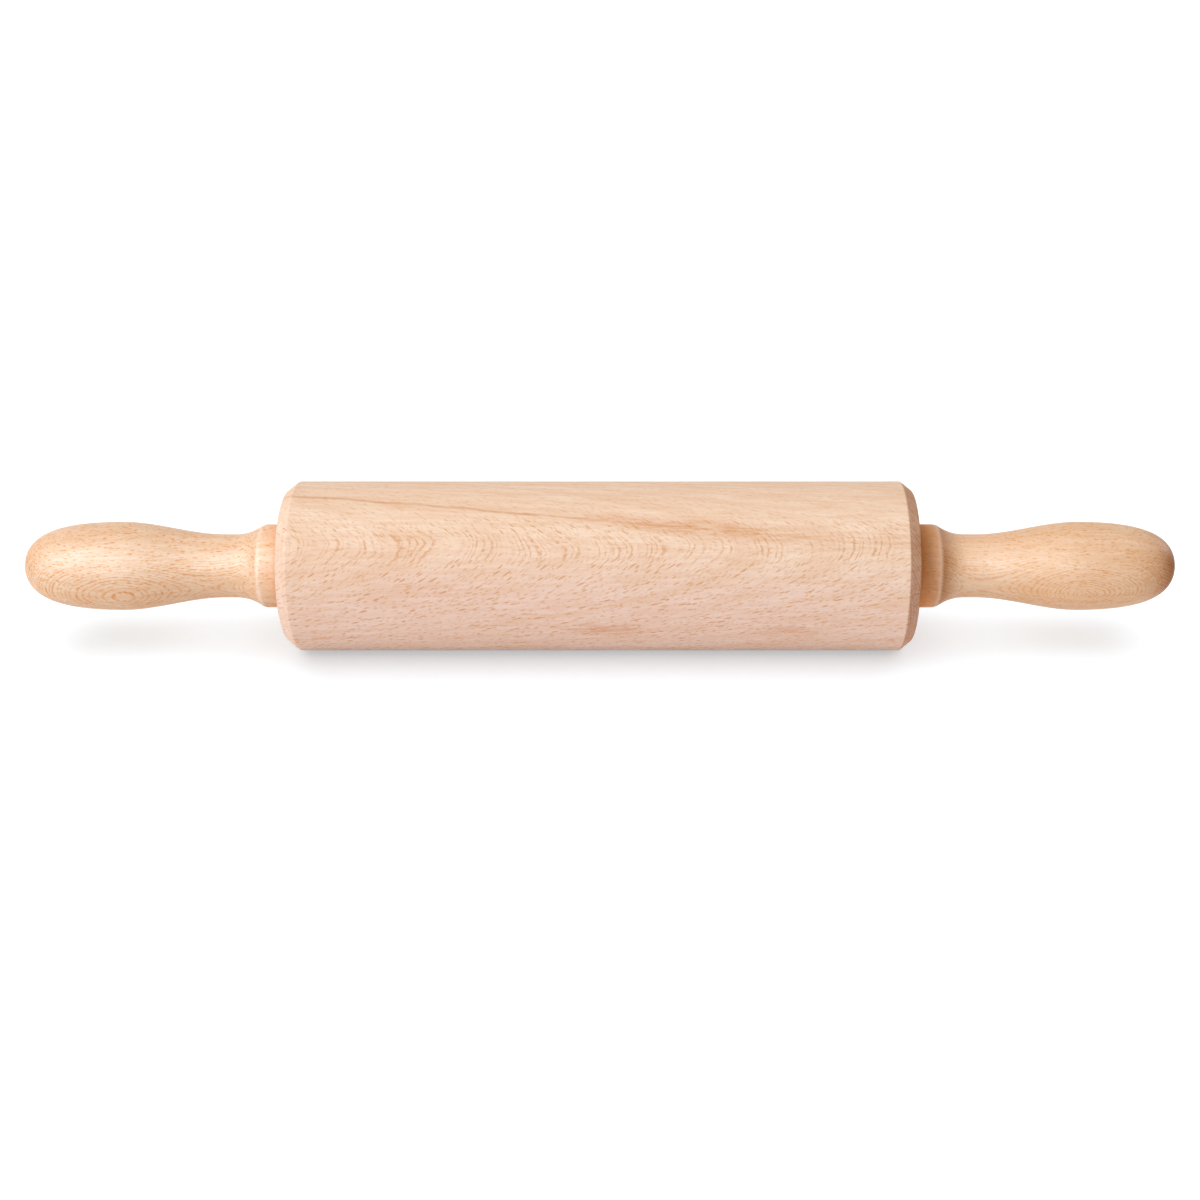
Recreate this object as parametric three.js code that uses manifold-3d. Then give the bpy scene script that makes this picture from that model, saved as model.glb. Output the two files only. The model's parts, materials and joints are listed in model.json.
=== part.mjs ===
// Rolling pin: a turned beech barrel that runs on two ball bearings around a steel axle
// with a turned beech handle fixed to each end of the axle.
// Millimetres. X runs along the axle, Z is up, and the origin is the middle of the barrel.
import * as THREE from "three";
import { mergeVertices } from "three/addons/utils/BufferGeometryUtils.js";
import Module from "manifold-3d";

const wasm = await Module();
wasm.setup();

// Barrel
const BARREL_LENGTH = 220;
const BARREL_DIAMETER = 60;
const BARREL_CHAMFER_LENGTH = 4;
const BARREL_CHAMFER_DEPTH = 3.2;
const BARREL_BORE_CLEARANCE = 1;

// Handles
const HANDLE_LENGTH = 93.2;
const COLLAR_DIAMETER = 29.6;
const COLLAR_LENGTH = 8.4;
const COLLAR_EDGE = 0.4;
const SHOULDER_EASE = 1.3;
const COVE_RADIUS = 16.7;
const NECK_DIAMETER = 22.5;
const NECK_LENGTH = 3.8;
const BELLY_DIAMETER = 31.4;
const BELLY_FROM_TIP = 34.3;
const TIP_BLUNTNESS = 0.65;
const TIP_FULLNESS = 0.74;
const BELLY_EASE = 0.33;
const NECK_EASE = 0.35;

// Axle
const AXLE_DIAMETER = 8;
const AXLE_GRIP_LENGTH = 55;
const AXLE_END_CHAMFER = 0.8;
const SPLINE_LENGTH = 42;
const SPLINE_DEPTH = 0.3;
const SPLINE_TEETH = 16;
const GLUE_SPACE = 1;

// Bearings
const BEARING_DIAMETER = 22;
const BEARING_RECESS = 0.4;
const SEAT_LEAD = 0.5;
const BALL_COUNT = 7;
const BALL_DIAMETER = 3.97;
const RACE_DEPTH = 0.68;
const RING_EDGE = 0.3;
const CAGE_THICKNESS = 2;
const CAGE_LIP = 0.9;
const CAGE_BACK = 0.415;
const SHIELD_THICKNESS = 0.35;
const SHIELD_RECESS = 0.2;
const SHIELD_SEAT = 0.8;
const RELIEF_DEPTH = 0.8;

// Washers
const WASHER_WALL = 1.8;
const RUNNING_GAP = 0.6;

// Clearances
const FIT_CLEARANCE = 0.15;
const RUN_CLEARANCE = 0.15;
const POCKET_CLEARANCE = 0.25;
const SHIELD_CLEARANCE = 0.3;
const FACE_CLEARANCE = 0.05;

// Facets
const BARREL_FACETS = 56;
const HANDLE_FACETS = 36;
const METAL_FACETS = 24;
const CURVE_STEPS = 9;
const COVE_STEPS = 5;
const SHOULDER_STEPS = 3;
const RACE_STEPS = 4;
const BALL_FACETS = 10;
const POCKET_FACETS = 10;

// Widths inside a bearing, measured from the middle of its balls
const ballRadius = BALL_DIAMETER / 2;
const pocketRadius = ballRadius + POCKET_CLEARANCE;
const cageBack = pocketRadius + CAGE_BACK;
const shieldInside = cageBack + SHIELD_CLEARANCE;
const shieldOutside = shieldInside + SHIELD_THICKNESS;
const bearingHalf = shieldOutside + SHIELD_RECESS;

// Places measured outwards along the axle from the middle of the barrel
const barrelEnd = BARREL_LENGTH / 2;
const bearingFace = barrelEnd - BEARING_RECESS;
const bearingMiddle = bearingFace - bearingHalf;
const bearingSeat = bearingMiddle - bearingHalf - FACE_CLEARANCE;
const handleFace = barrelEnd + RUNNING_GAP;
const axleEnd = handleFace + AXLE_GRIP_LENGTH;
const splineStart = axleEnd - SPLINE_LENGTH;

// Radii shared by pieces that fit each other
const axleRadius = AXLE_DIAMETER / 2;
const axleHole = axleRadius + FIT_CLEARANCE;
const bearingRadius = BEARING_DIAMETER / 2;
const pitchRadius = (axleHole + bearingRadius) / 2;
const innerRace = pitchRadius - ballRadius - RUN_CLEARANCE;
const outerRace = pitchRadius + ballRadius + RUN_CLEARANCE;
const innerLand = innerRace + RACE_DEPTH;
const outerLand = outerRace - RACE_DEPTH;
const shieldSeatRadius = outerLand + SHIELD_SEAT;
const shieldHole = innerLand + SHIELD_CLEARANCE;

function wood(name, colour, roughness) {
  return new THREE.MeshStandardMaterial({ name, color: colour, roughness, metalness: 0 });
}

function steel(name, colour, roughness) {
  return new THREE.MeshStandardMaterial({ name, color: colour, roughness, metalness: 1 });
}

function plastic(name, colour, roughness) {
  return new THREE.MeshStandardMaterial({ name, color: colour, roughness, metalness: 0 });
}

const rawBeech = wood("raw beech", 0xe6c2a6, 0.62);
const oiledBeech = wood("oiled beech", 0xe8c098, 0.42);
const drawnSteel = steel("drawn steel", 0x9a9c9f, 0.35);
const bearingSteel = steel("bearing steel", 0xb9bcc0, 0.18);
const sheetSteel = steel("sheet steel", 0xa6a8aa, 0.3);
const nylon = plastic("nylon", 0xe6e0d2, 0.5);

// Solid of revolution: each point of the outline is a radius and a place along the axle.
// The middles of the flat facets lie on the true circle, and one of them faces straight down.
function turnedGeometry(outline, facets) {
  const step = Math.PI / facets;
  const spread = 1 / Math.cos(step);
  return new THREE.LatheGeometry(outline, facets, step).scale(spread, 1, spread);
}

function point(radius, along) {
  return new THREE.Vector2(radius, along);
}

function ringOutline(hole, radius, from, to) {
  return [point(hole, from), point(radius, from), point(radius, to), point(hole, to), point(hole, from)];
}

function toSolid(geometry) {
  const bare = geometry.clone();
  bare.deleteAttribute("normal");
  bare.deleteAttribute("uv");
  const merged = mergeVertices(bare, 1e-4);
  return new wasm.Manifold(
    new wasm.Mesh({
      numProp: 3,
      vertProperties: merged.attributes.position.array,
      triVerts: new Uint32Array(merged.index.array),
    }),
  );
}

function toGeometry(solid) {
  const mesh = solid.getMesh();
  const geometry = new THREE.BufferGeometry();
  geometry.setAttribute("position", new THREE.BufferAttribute(mesh.vertProperties, 3));
  geometry.setIndex(new THREE.BufferAttribute(mesh.triVerts, 1));
  geometry.computeVertexNormals();
  return geometry;
}

function namedMesh(name, geometry, material) {
  const mesh = new THREE.Mesh(geometry, material);
  mesh.name = name;
  return mesh;
}

// The barrel: a through bore for the axle, a counterbore for a bearing at each end,
// and a shallower relief that keeps the wood off the bearing's inner ring.
function makeBarrel() {
  const bore = axleRadius + BARREL_BORE_CLEARANCE;
  const seat = bearingRadius + FIT_CLEARANCE;
  const radius = BARREL_DIAMETER / 2;
  const faceRadius = radius - BARREL_CHAMFER_DEPTH;
  const half = [
    point(bore, bearingSeat - RELIEF_DEPTH),
    point(outerLand, bearingSeat - RELIEF_DEPTH),
    point(outerLand, bearingSeat),
    point(seat, bearingSeat),
    point(seat, barrelEnd - SEAT_LEAD),
    point(seat + SEAT_LEAD, barrelEnd),
    point(faceRadius, barrelEnd),
    point(radius, barrelEnd - BARREL_CHAMFER_LENGTH),
  ];
  const mirrored = half.map((p) => point(p.x, -p.y));
  const outline = [...mirrored, ...half.toReversed()];
  outline.push(outline[0].clone());
  return namedMesh("barrel", turnedGeometry(outline, BARREL_FACETS), rawBeech);
}

// The outline of a handle from the middle of its tip to the edge of its collar face.
function handleOutline() {
  const tip = handleFace + HANDLE_LENGTH;
  const belly = BELLY_DIAMETER / 2;
  const neck = NECK_DIAMETER / 2;
  const collar = COLLAR_DIAMETER / 2;
  const rise = collar - neck;
  const coveLength = Math.sqrt(2 * COVE_RADIUS * rise - rise * rise);
  const bellyAt = tip - BELLY_FROM_TIP;
  const shoulderAt = handleFace + COLLAR_LENGTH;
  const coveAt = shoulderAt + coveLength;
  const neckAt = coveAt + NECK_LENGTH;
  const swell = bellyAt - neckAt;
  const dome = new THREE.CubicBezierCurve(
    point(0, tip),
    point(TIP_BLUNTNESS * belly, tip),
    point(belly, bellyAt + TIP_FULLNESS * BELLY_FROM_TIP),
    point(belly, bellyAt),
  );
  const taper = new THREE.CubicBezierCurve(
    point(belly, bellyAt),
    point(belly, bellyAt - BELLY_EASE * swell),
    point(neck, neckAt + NECK_EASE * swell),
    point(neck, neckAt),
  );
  const sweep = Math.asin(coveLength / COVE_RADIUS) - SHOULDER_EASE / COVE_RADIUS;
  const cove = new THREE.EllipseCurve(
    neck + COVE_RADIUS, coveAt, COVE_RADIUS, COVE_RADIUS, Math.PI, Math.PI + sweep, false, 0,
  );
  const shoulder = new THREE.QuadraticBezierCurve(
    cove.getPoint(1),
    point(collar, shoulderAt),
    point(collar, shoulderAt - SHOULDER_EASE),
  );
  const edge = [
    point(collar, handleFace + COLLAR_EDGE),
    point(collar - COLLAR_EDGE, handleFace),
  ];
  return [
    ...dome.getPoints(CURVE_STEPS),
    ...taper.getPoints(CURVE_STEPS).slice(1),
    ...cove.getPoints(COVE_STEPS),
    ...shoulder.getPoints(SHOULDER_STEPS).slice(1),
    ...edge,
  ];
}

// A handle: the turned outline with a blind hole for the axle and some room for glue at its end.
function makeHandle(side) {
  const holeEnd = axleEnd + GLUE_SPACE;
  const hole = [point(axleHole, handleFace), point(axleHole, holeEnd), point(0, holeEnd)];
  const outline = [...handleOutline(), ...hole].reverse();
  return namedMesh(`${side}_handle`, turnedGeometry(outline, HANDLE_FACETS), oiledBeech);
}

// Straight splines on the turned-down end of the axle: teeth that bite into the glue.
function splineGeometry() {
  const root = axleRadius - 2 * SPLINE_DEPTH;
  const crest = axleRadius - SPLINE_DEPTH;
  const teeth = new THREE.Shape();
  for (let i = 0; i < 2 * SPLINE_TEETH; i += 1) {
    const angle = (i * Math.PI) / SPLINE_TEETH;
    const radius = i % 2 === 0 ? crest : root;
    const x = radius * Math.cos(angle);
    const y = radius * Math.sin(angle);
    if (i === 0) {
      teeth.moveTo(x, y);
    } else {
      teeth.lineTo(x, y);
    }
  }
  teeth.closePath();
  const length = SPLINE_LENGTH - AXLE_END_CHAMFER;
  return new THREE.ExtrudeGeometry(teeth, { depth: length, bevelEnabled: false });
}

// The axle: a plain rod between the bearings, turned down and splined where the handles grip it.
function makeAxle() {
  const root = axleRadius - 2 * SPLINE_DEPTH;
  const half = [
    point(axleRadius, splineStart),
    point(root, splineStart),
    point(root, axleEnd - AXLE_END_CHAMFER),
    point(root - AXLE_END_CHAMFER, axleEnd),
    point(0, axleEnd),
  ];
  const mirrored = half.map((p) => point(p.x, -p.y)).reverse();
  let solid = toSolid(turnedGeometry([...mirrored, ...half], METAL_FACETS));
  const right = splineGeometry();
  right.rotateX(-Math.PI / 2);
  right.translate(0, splineStart, 0);
  const left = splineGeometry();
  left.rotateX(Math.PI / 2);
  left.translate(0, -splineStart, 0);
  solid = solid.add(toSolid(right)).add(toSolid(left));
  return namedMesh("axle", toGeometry(solid), drawnSteel);
}

// The curved bed of a race: an arc a little wider than the ball, between the two lands of a ring.
function raceArc(race, outwards) {
  const bedRadius = ballRadius + RUN_CLEARANCE;
  const reach = Math.acos((bedRadius - RACE_DEPTH) / bedRadius);
  const points = [];
  for (let i = 0; i <= RACE_STEPS; i += 1) {
    const angle = reach * ((2 * i) / RACE_STEPS - 1);
    const lift = bedRadius * (1 - Math.cos(angle));
    const radius = outwards ? race - lift : race + lift;
    points.push(point(radius, bedRadius * Math.sin(angle)));
  }
  return points;
}

function makeOuterRing(side) {
  const half = bearingHalf;
  const step = shieldInside - FACE_CLEARANCE;
  const outline = [
    point(bearingRadius, half - RING_EDGE),
    point(bearingRadius - RING_EDGE, half),
    point(shieldSeatRadius, half),
    point(shieldSeatRadius, step),
    point(outerLand, step),
    ...raceArc(outerRace, true).reverse(),
    point(outerLand, -step),
    point(shieldSeatRadius, -step),
    point(shieldSeatRadius, -half),
    point(bearingRadius - RING_EDGE, -half),
    point(bearingRadius, -half + RING_EDGE),
    point(bearingRadius, half - RING_EDGE),
  ];
  return namedMesh(`${side}_bearing_outer_ring`, turnedGeometry(outline, METAL_FACETS), bearingSteel);
}

function makeInnerRing(side) {
  const outline = [
    point(axleHole, -bearingHalf),
    point(innerLand, -bearingHalf),
    ...raceArc(innerRace, false),
    point(innerLand, bearingHalf),
    point(axleHole, bearingHalf),
    point(axleHole, -bearingHalf),
  ];
  return namedMesh(`${side}_bearing_inner_ring`, turnedGeometry(outline, METAL_FACETS), bearingSteel);
}

// A ball's place in its bearing.
function ballCentre(index) {
  const angle = (2 * Math.PI * index) / BALL_COUNT;
  return new THREE.Vector3(pitchRadius * Math.sin(angle), 0, pitchRadius * Math.cos(angle));
}

function makeBall(side, index) {
  const geometry = new THREE.SphereGeometry(ballRadius, BALL_FACETS, BALL_FACETS / 2 + 1);
  const ball = namedMesh(`${side}_bearing_ball_${index + 1}`, geometry, bearingSteel);
  ball.position.copy(ballCentre(index));
  return ball;
}

// The crown cage: a ring behind the balls with fingers that reach past their middles.
function makeCage(side) {
  const inside = pitchRadius - CAGE_THICKNESS / 2;
  const outside = pitchRadius + CAGE_THICKNESS / 2;
  const crown = ringOutline(inside, outside, -cageBack, CAGE_LIP);
  let solid = toSolid(turnedGeometry(crown, METAL_FACETS));
  for (let i = 0; i < BALL_COUNT; i += 1) {
    const hollow = new THREE.SphereGeometry(pocketRadius, POCKET_FACETS, POCKET_FACETS);
    const centre = ballCentre(i);
    hollow.translate(centre.x, centre.y, centre.z);
    solid = solid.subtract(toSolid(hollow));
  }
  return namedMesh(`${side}_bearing_cage`, toGeometry(solid), nylon);
}

// A shield: a thin disc held in the outer ring that stops short of the inner ring.
function makeShield(side, place, facing) {
  const rim = shieldSeatRadius - FIT_CLEARANCE;
  const outline = ringOutline(shieldHole, rim, -SHIELD_THICKNESS / 2, SHIELD_THICKNESS / 2);
  const shield = namedMesh(
    `${side}_bearing_${place}_shield`, turnedGeometry(outline, METAL_FACETS), sheetSteel,
  );
  shield.position.y = (facing * (shieldInside + shieldOutside)) / 2;
  return shield;
}

function makeBearing(side) {
  const bearing = new THREE.Group();
  bearing.name = `${side}_bearing`;
  bearing.add(makeOuterRing(side));
  bearing.add(makeInnerRing(side));
  bearing.add(makeCage(side));
  for (let i = 0; i < BALL_COUNT; i += 1) {
    bearing.add(makeBall(side, i));
  }
  bearing.add(makeShield(side, "outer", 1));
  bearing.add(makeShield(side, "inner", -1));
  bearing.position.y = bearingMiddle;
  return bearing;
}

// The thrust washer between a bearing's inner ring and the collar of the handle.
function makeWasher(side) {
  const hole = axleHole;
  const from = bearingFace + FACE_CLEARANCE;
  const to = handleFace - FACE_CLEARANCE;
  const outline = ringOutline(hole, hole + WASHER_WALL, from, to);
  return namedMesh(`${side}_thrust_washer`, turnedGeometry(outline, METAL_FACETS), sheetSteel);
}

// One end of the pin, built outwards along the axle.
function makeEnd(side) {
  const end = new THREE.Group();
  end.name = `${side}_end`;
  end.add(makeBearing(side));
  end.add(makeWasher(side));
  end.add(makeHandle(side));
  return end;
}

function makePin() {
  const turned = new THREE.Group();
  turned.name = "turned";
  const left = makeEnd("left");
  left.rotation.z = Math.PI;
  turned.add(makeBarrel());
  turned.add(makeAxle());
  turned.add(left);
  turned.add(makeEnd("right"));
  turned.rotation.z = -Math.PI / 2;
  const pin = new THREE.Group();
  pin.name = "rolling_pin";
  pin.add(turned);
  return pin;
}

export default makePin();
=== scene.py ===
"""Looks of a turned beech rolling pin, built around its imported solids.

The barrel and the two handles are turned again as fine meshes with eased edges, and dressed in
solid beech that is cut from a growing log, so that rings, rays and fibres run on from the long
faces into the chamfers and round the tips. The steel and nylon inside keep their solids and get
finishes of their own. Lengths are in millimetres unless a name says otherwise.
"""

import json
import logging
import math
from dataclasses import KW_ONLY, dataclass, field
from enum import Enum
from typing import TypeVar

import bmesh
import bpy
from mathutils import Euler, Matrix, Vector
from mathutils.geometry import interpolate_bezier

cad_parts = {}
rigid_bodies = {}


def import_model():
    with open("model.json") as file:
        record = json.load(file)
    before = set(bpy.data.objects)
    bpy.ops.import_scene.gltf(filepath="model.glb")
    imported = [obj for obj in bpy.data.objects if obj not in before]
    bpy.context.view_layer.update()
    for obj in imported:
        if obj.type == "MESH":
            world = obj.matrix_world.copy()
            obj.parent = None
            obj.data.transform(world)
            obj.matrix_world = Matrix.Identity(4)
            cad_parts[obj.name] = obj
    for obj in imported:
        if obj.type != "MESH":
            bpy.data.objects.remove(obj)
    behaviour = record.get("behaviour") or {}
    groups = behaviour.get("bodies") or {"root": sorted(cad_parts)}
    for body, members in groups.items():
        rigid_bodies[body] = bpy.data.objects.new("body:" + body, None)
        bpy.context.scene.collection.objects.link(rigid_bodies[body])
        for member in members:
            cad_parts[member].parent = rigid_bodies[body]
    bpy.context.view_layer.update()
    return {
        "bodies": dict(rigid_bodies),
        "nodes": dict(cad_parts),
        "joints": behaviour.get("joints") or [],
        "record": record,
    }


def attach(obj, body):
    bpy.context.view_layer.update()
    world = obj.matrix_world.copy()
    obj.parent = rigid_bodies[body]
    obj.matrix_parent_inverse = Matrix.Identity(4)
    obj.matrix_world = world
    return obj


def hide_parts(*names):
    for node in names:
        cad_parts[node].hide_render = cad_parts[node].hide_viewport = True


LOG = logging.getLogger("rolling_pin")

MM = 0.001
MERGE_DISTANCE = 1e-6
CORNER_TOLERANCE = 1e-5
CORNER_SEGMENTS = 4
# The handles of a quadratic curve reach this share of the way to its corner.
QUADRATIC = 2 / 3
CLIP_NEAR, CLIP_FAR = 0.01, 50.0

WHITE = (1.0, 1.0, 1.0, 1.0)
CROSSWISE = (0.0, 1.0, 1.0)

# A Mix node's sockets for colours, the settings of a colour mix, and the levels of a ramp.
MIX_FACTOR, MIX_A, MIX_B, MIX_RESULT = 0, 6, 7, 2
COLOUR_MIX = {"output": MIX_RESULT, "data_type": "RGBA"}
RISE, FALL = (0.0, 1.0), (1.0, 0.0)

# Sizes of the beech's patterns along and across the grain.
SWAY_SIZE = (70.0, 34.0)
PATCH_SIZE = (120.0, 13.0)
BLUSH_SIZE = (160.0, 24.0)
STRAND_SIZE = (45.0, 1.5)
WOBBLE_SIZE = (5.0, 5.0)
CRUMB_SIZE = (1.3, 1.3)
VEIN_WAVE_SIZE = (16.0, 60.0)
VEIN_BREAK_SIZE = (7.0, 20.0)
VEIN_FIBRE_SIZE = (18.0, 0.7)
STREAK_FIBRE_SIZE = (9.0, 0.9)

# How each pattern comes and goes: an edge or a reach is where it does, and levels are how
# strong it is before and after.
YEAR_DARKENS, YEAR_ENDS, FAINTEST_YEAR = (0.25, 0.86), (0.86, 1.0), 0.15
LAYER_WOBBLE, LAYER_DRIFT_SCALE, LAYER_GROUP_SCALE = 0.18, 0.4, 0.23
LAYER_EDGE, CLUSTER_EDGE, CRUMB_LEVELS = (0.0, 0.95), (0.36, 0.6), (0.15, 1.0)
LEAN_REACH, LEAN_FADES, LEAN_LEVELS = (-5.0, 5.0), (5.0, 20.0), (1.0, 0.3)
RAY_HALF_LENGTHS, RAY_EDGE, RAY_LEVELS = (0.2, 0.5), (0.5, 1.15), (0.3, 1.0)
FLAT_REACH, FLAT_LEVELS, CALM_REACH = (2.0, 6.0), (0.5, 1.0), (5.0, 14.0)
VEIN_CORE, VEIN_FADE, VEIN_FAINT = 0.2, 30.0, 0.25
BREAK_EDGE, BREAK_LEVELS = (0.3, 0.65), (0.5, 1.0)
BAND_EDGE, BAND_LEVELS = (0.3, 0.7), (0.45, 1.0)
BAND_OPENS, BAND_CLOSES, BAND_LEFT = 5.0, 20.0, 0.35
STREAK_RAGGED, STREAK_EDGE = 1.6, (0.7, 1.7)
PATCH_EDGE, BLUSH_DRIFT, BLUSH_FADE = (0.32, 0.68), 30.0, 16.0
STRAND_EDGE, STRAND_SHARE, FIBRE_EDGE = (0.36, 0.7), 1.3, (0.3, 0.75)
END_EDGE, END_GLOSS, CUT_RING_SLANT, CUT_RING_SHARE = (0.12, 0.85), 0.35, -0.7, 0.5

# What the fibres do to the surface: the spread of its roughness and the height of its bumps.
ROUGH_SPREAD, WOOD_BUMP, PORE_SHARE, WOOD_IOR = 0.16, 0.06, -0.6, 1.5
# Scratches in drawn steel are sixty times as long as they are wide.
DRAWN_SQUEEZE = (1 / 60, 1.0, 1.0)

Point = tuple[float, float]
Colour = tuple[float, float, float, float]
Socket = bpy.types.NodeSocket
Choice = TypeVar("Choice")


class Side(Enum):
    """The end of the pin that a piece belongs to, as a sign along X."""

    LEFT = -1
    RIGHT = 1

    @property
    def word(self) -> str:
        """The side as the nodes' names spell it."""
        return self.name.lower()

    def pick(self, left: Choice, right: Choice) -> Choice:
        """The one of two values that belongs to this side."""
        return left if self is Side.LEFT else right


class SteelSurface(Enum):
    """How a steel piece got its surface, which gives its scratches their direction."""

    DRAWN = "lines along the rod"
    GROUND = "fine circles about the axle"
    STAMPED = "a dull mottle from the press"


def linear(code: str) -> Colour:
    """Turn an sRGB hex code into a linear colour.

    Args:
        code: Six hex digits after a hash sign.

    Returns:
        Red, green, blue and full opacity, all linear.
    """
    levels = [int(code[i : i + 2], 16) / 255 for i in (1, 3, 5)]
    red, green, blue = (
        level / 12.92 if level <= 0.04045 else ((level + 0.055) / 1.055) ** 2.4 for level in levels
    )
    return (red, green, blue, 1.0)


@dataclass
class Nodes:
    """A node tree that is being filled."""

    tree: bpy.types.NodeTree

    def add(
        self,
        kind: str,
        inputs: tuple[object, ...] | dict[str | int, object] = (),
        output: str | int = 0,
        **settings: object,
    ) -> Socket:
        """Add a node with its settings, values and links.

        Args:
            kind: Blender's name of the node type, without its prefix.
            inputs: A value or a linked socket for each input, in order or by name or number.
            output: The output that is handed back.
            **settings: Properties of the node.

        Returns:
            The chosen output socket, whose node gives the other outputs.
        """
        node = self.tree.nodes.new(f"ShaderNode{kind}")
        for name, value in settings.items():
            setattr(node, name, value)
        for key, value in inputs.items() if isinstance(inputs, dict) else enumerate(inputs):
            if isinstance(value, Socket):
                self.tree.links.new(value, node.inputs[key])
            else:
                node.inputs[key].default_value = value
        return node.outputs[output] if len(node.outputs) else None

    def product(self, *factors: Socket | float) -> Socket:
        """Multiply levels with each other.

        Args:
            *factors: The levels, the first of which is a socket.

        Returns:
            Their product.
        """
        total = factors[0]
        for factor in factors[1:]:
            total = self.add("Math", (total, factor), operation="MULTIPLY")
        return total

    def fade(self, strength: Socket | float, *ramps: tuple[Socket | float, ...]) -> Socket:
        """Let a pattern come and go by smooth ramps that are multiplied with each other.

        Args:
            strength: The pattern's full strength.
            *ramps: For each a value, where its change starts and ends, and the levels there.

        Returns:
            How strong the pattern is.
        """
        levels = [self.add("MapRange", ramp, interpolation_type="SMOOTHSTEP") for ramp in ramps]
        return self.product(*levels, strength)


def empty_material(name: str) -> bpy.types.Material:
    """Make a material with an empty node tree.

    Args:
        name: The finish's name.

    Returns:
        The new material.
    """
    material = bpy.data.materials.new(name)
    material.use_nodes = True
    material.node_tree.nodes.clear()
    return material


@dataclass(frozen=True)
class Streak:
    """A short brown streak in the wood: its middle and half sizes along and across the grain."""

    along: float
    across: float
    half_length: float
    half_width: float
    strength: float


@dataclass(frozen=True)
class Vein:
    """A dark sheet in the wood that shows as one long slanting line.

    The line climbs across the grain from its level at the middle of the piece, and runs out
    level at its lowest, with a soft bend. Between two places along the grain it spreads into a
    soft brown band.
    """

    middle: float
    climb: float
    lowest: float
    half_width: float
    band_width: float
    band_from: float
    band_to: float
    line_strength: float = 0.48
    band_strength: float = 0.58
    bend: float = 3.0
    wave: float = 2.4


@dataclass(frozen=True)
class Rays:
    """One size of ray: length, thickness and depth, the room around each, and how dark it is."""

    length: float
    width: float
    depth: float
    room: tuple[float, float, float]
    strength: float


@dataclass(frozen=True)
class Layers:
    """The fine layers within the rings: width, how dark, and how far they show as arcs.

    `evenness` is the share of its darkness that the palest group of layers keeps, and `drift`
    the layers by which their spacing wanders. Where `crest` is set, the layers narrow towards
    that distance from the heart, so that they show as nested ovals on a bellied piece.
    """

    width: float
    strength: float
    evenness: float
    drift: float
    full_reach: float
    end_reach: float
    crest: float | None = None


@dataclass(frozen=True)
class Stain:
    """A ring of tone about the piece. Most of them are painted light: painted shade and a painted
    contact shadow on a collar against the barrel, painted shade in a chamfer's crease, painted
    highlights on edges and a painted sheen on a chamfer. One is a faint tone of the wood itself.

    It has a place along the axle, a reach over which it fades, a strength, a colour, and what
    the gloss is multiplied by there.
    """

    place: float
    reach: float
    strength: float
    colour: str
    gloss: float = 1.0


@dataclass(frozen=True)
class Beech:
    """Beech cut from a log: pale, with faint growth rings and many short dark rays.

    The log's coordinates run along the grain, across it along the rings, and outwards from the
    heart. `facing` is the height in degrees, seen from the front, of the side where the rings
    lie flat in the surface, which shows there as nested arcs. Fibres and rays are drawn coarser
    than real ones, which would be too fine to show.
    """

    name: str
    pale: str
    warm: str
    rosy: str
    ring_colour: str
    ray_colour: str
    # End grain looks deeper; the far stronger share for the right end is painted shade.
    end_grain_and_shade_colour: str
    end_grain_and_shade_strengths: Point
    facing: float
    heart: float
    slope: float
    sway: float
    centre: float
    ring_width: float
    ring_strength: float
    layers: Layers
    rays: tuple[Rays, ...]
    ray_lean: float
    calm_side: float
    fibre_size: Point
    rosy_side: float
    strand_strength: float
    roughness: float
    gloss: float
    bump: float
    vein: Vein | None = None
    vein_colour: str = "#C7803F"
    streaks: tuple[Streak, ...] = ()
    # Rings of tone along the axle: painted shade, shadow, highlight and sheen, and one tone of the
    # wood.
    painted_light_and_stains: tuple[Stain, ...] = ()

    def material(self) -> bpy.types.Material:
        """Make the material.

        Returns:
            The finished beech.
        """
        material = empty_material(self.name)
        Board(material.node_tree, self).finish()
        return material


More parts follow.
